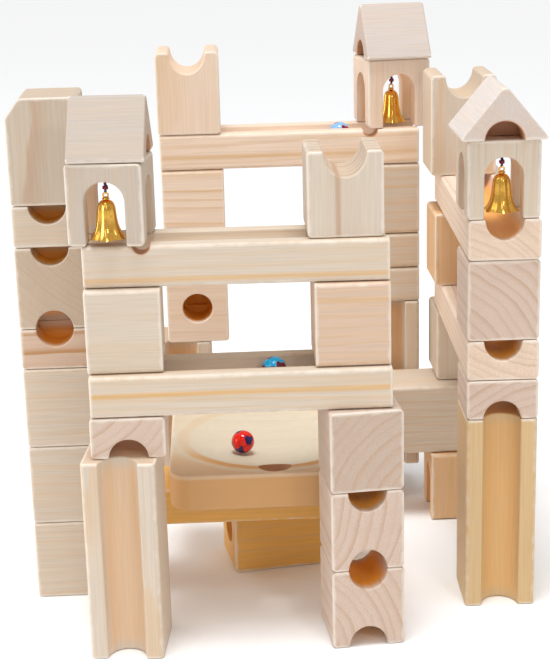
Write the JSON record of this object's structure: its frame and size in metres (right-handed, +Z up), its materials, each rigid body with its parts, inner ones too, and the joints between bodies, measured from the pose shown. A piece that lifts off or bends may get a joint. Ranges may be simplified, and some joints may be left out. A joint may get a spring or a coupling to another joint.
{
  "type": "wooden marble run",
  "caption": "Free-standing marble run of stacked pine blocks with grooved rails, bell houses with hanging bells, a dished catch tray and glass marbles.",
  "frame": {"origin": "centre of the footprint's box, on the surface that the run stands on", "axes": "+Z up, the front faces -Y, +X to the right seen from the front"},
  "size_m": [0.2926, 0.2652, 0.3271],
  "materials": {
    "pine": "smooth sanded, unvarnished",
    "bell_gold": "polished",
    "bell_string": "twisted thread",
    "red_glass": "glossy",
    "cyan_glass": "glossy",
    "blue_glass": "glossy"
  },
  "bodies": {
    "pile": {"back_bell_house": "pine", "back_left_channel": "pine", "back_left_half_block": "pine", "back_left_upper_cube": "pine", "back_rail": "pine", "back_right_base_half_block": "pine", "back_right_channel": "pine", "back_right_lower_half_block": "pine", "back_right_middle_half_block": "pine", "back_right_upper_cube": "pine", "catch_tray": "pine", "drop_hole_cube": "pine", "far_base_block": "pine", "far_cross_block": "pine", "far_lower_cube": "pine", "far_upper_cube": "pine", "front_bell_house": "pine", "front_left_arch_block": "pine", "front_left_channel": "pine", "front_right_base_cube": "pine", "front_right_middle_cube": "pine", "front_right_top_cube": "pine", "left_base_cube": "pine", "left_grooved_cube": "pine", "left_grooved_half_block": "pine", "left_lower_cube": "pine", "left_middle_cube": "pine", "left_spacer_cube": "pine", "left_upper_half_block": "pine", "lower_front_rail": "pine", "lower_side_rail": "pine", "right_arch_block": "pine", "right_bell_house": "pine", "right_channel": "pine", "right_spacer_cube": "pine", "right_tower_cube": "pine", "tray_support_block": "pine", "tray_support_plank": "pine", "upper_front_rail": "pine", "upper_side_rail": "pine"},
    "front_roof": {"front_bell_roof": "pine"},
    "back_roof": {"back_bell_roof": "pine"},
    "right_roof": {"right_bell_roof": "pine"},
    "front_turret_piece": {"front_turret": "pine"},
    "back_turret_piece": {"back_turret": "pine"},
    "far_turret_piece": {"far_turret": "pine"},
    "left_cap": {"left_cap_block": "pine"},
    "front_bell": {"front_bell_cup": "bell_gold", "front_bell_cord": "bell_string"},
    "front_bell_tongue": {"front_bell_clapper": "bell_gold"},
    "back_bell": {"back_bell_cup": "bell_gold", "back_bell_cord": "bell_string"},
    "back_bell_tongue": {"back_bell_clapper": "bell_gold"},
    "right_bell": {"right_bell_cup": "bell_gold", "right_bell_cord": "bell_string"},
    "right_bell_tongue": {"right_bell_clapper": "bell_gold"},
    "red_marble_ball": {"red_marble": "red_glass"},
    "cyan_marble_ball": {"cyan_marble": "cyan_glass"},
    "blue_marble_ball": {"blue_marble": "blue_glass"}
  },
  "joints": [
    {"name": "front_roof_lift", "type": "slide", "parent": "pile", "child": "front_roof", "axis": [0, 0, 1], "range_m": [0, 0.06]},
    {"name": "back_roof_lift", "type": "slide", "parent": "pile", "child": "back_roof", "axis": [0, 0, 1], "range_m": [0, 0.06]},
    {"name": "right_roof_lift", "type": "slide", "parent": "pile", "child": "right_roof", "axis": [0, 0, 1], "range_m": [0, 0.06]},
    {"name": "front_turret_lift", "type": "slide", "parent": "pile", "child": "front_turret_piece", "axis": [0, 0, 1], "range_m": [0, 0.05]},
    {"name": "back_turret_lift", "type": "slide", "parent": "pile", "child": "back_turret_piece", "axis": [0, 0, 1], "range_m": [0, 0.05]},
    {"name": "far_turret_lift", "type": "slide", "parent": "pile", "child": "far_turret_piece", "axis": [0, 0, 1], "range_m": [0, 0.05]},
    {"name": "left_cap_lift", "type": "slide", "parent": "pile", "child": "left_cap", "axis": [0, 0, 1], "range_m": [0, 0.05]},
    {"name": "front_bell_swing", "type": "hinge", "parent": "pile", "child": "front_bell", "pos_m": [-0.08912, -0.11032, 0.2616], "axis": [0.9925, -0.1219, 0], "range_deg": [-20, 20]},
    {"name": "front_clapper_swing", "type": "hinge", "parent": "front_bell", "child": "front_bell_tongue", "pos_m": [-0.08912, -0.11032, 0.2495], "axis": [0.9925, -0.1219, 0], "range_deg": [-14, 14]},
    {"name": "back_bell_swing", "type": "hinge", "parent": "pile", "child": "back_bell", "pos_m": [0.08223, 0.10774, 0.2844], "axis": [-0.1564, 0.9877, 0], "range_deg": [-20, 20]},
    {"name": "back_clapper_swing", "type": "hinge", "parent": "back_bell", "child": "back_bell_tongue", "pos_m": [0.08223, 0.10774, 0.2699], "axis": [-0.1564, 0.9877, 0], "range_deg": [-14, 14]},
    {"name": "right_bell_swing", "type": "hinge", "parent": "pile", "child": "right_bell", "pos_m": [0.1218, -0.07584, 0.2616], "axis": [1, 0, 0], "range_deg": [-20, 20]},
    {"name": "right_clapper_swing", "type": "hinge", "parent": "right_bell", "child": "right_bell_tongue", "pos_m": [0.1218, -0.07584, 0.2495], "axis": [1, 0, 0], "range_deg": [-14, 14]},
    {"name": "cyan_marble_roll", "type": "slide", "parent": "pile", "child": "cyan_marble_ball", "axis": [1, 0, 0], "range_m": [-0.051, 0.0142]},
    {"name": "blue_marble_roll", "type": "slide", "parent": "pile", "child": "blue_marble_ball", "axis": [1, 0, 0], "range_m": [-0.069, 0.015]},
    {"name": "red_marble_roll", "type": "hinge", "parent": "pile", "child": "red_marble_ball", "pos_m": [-0.0047, -0.02184, 0.25191], "axis": [0, 1, 0], "range_deg": [-14, 7]}
  ]
}
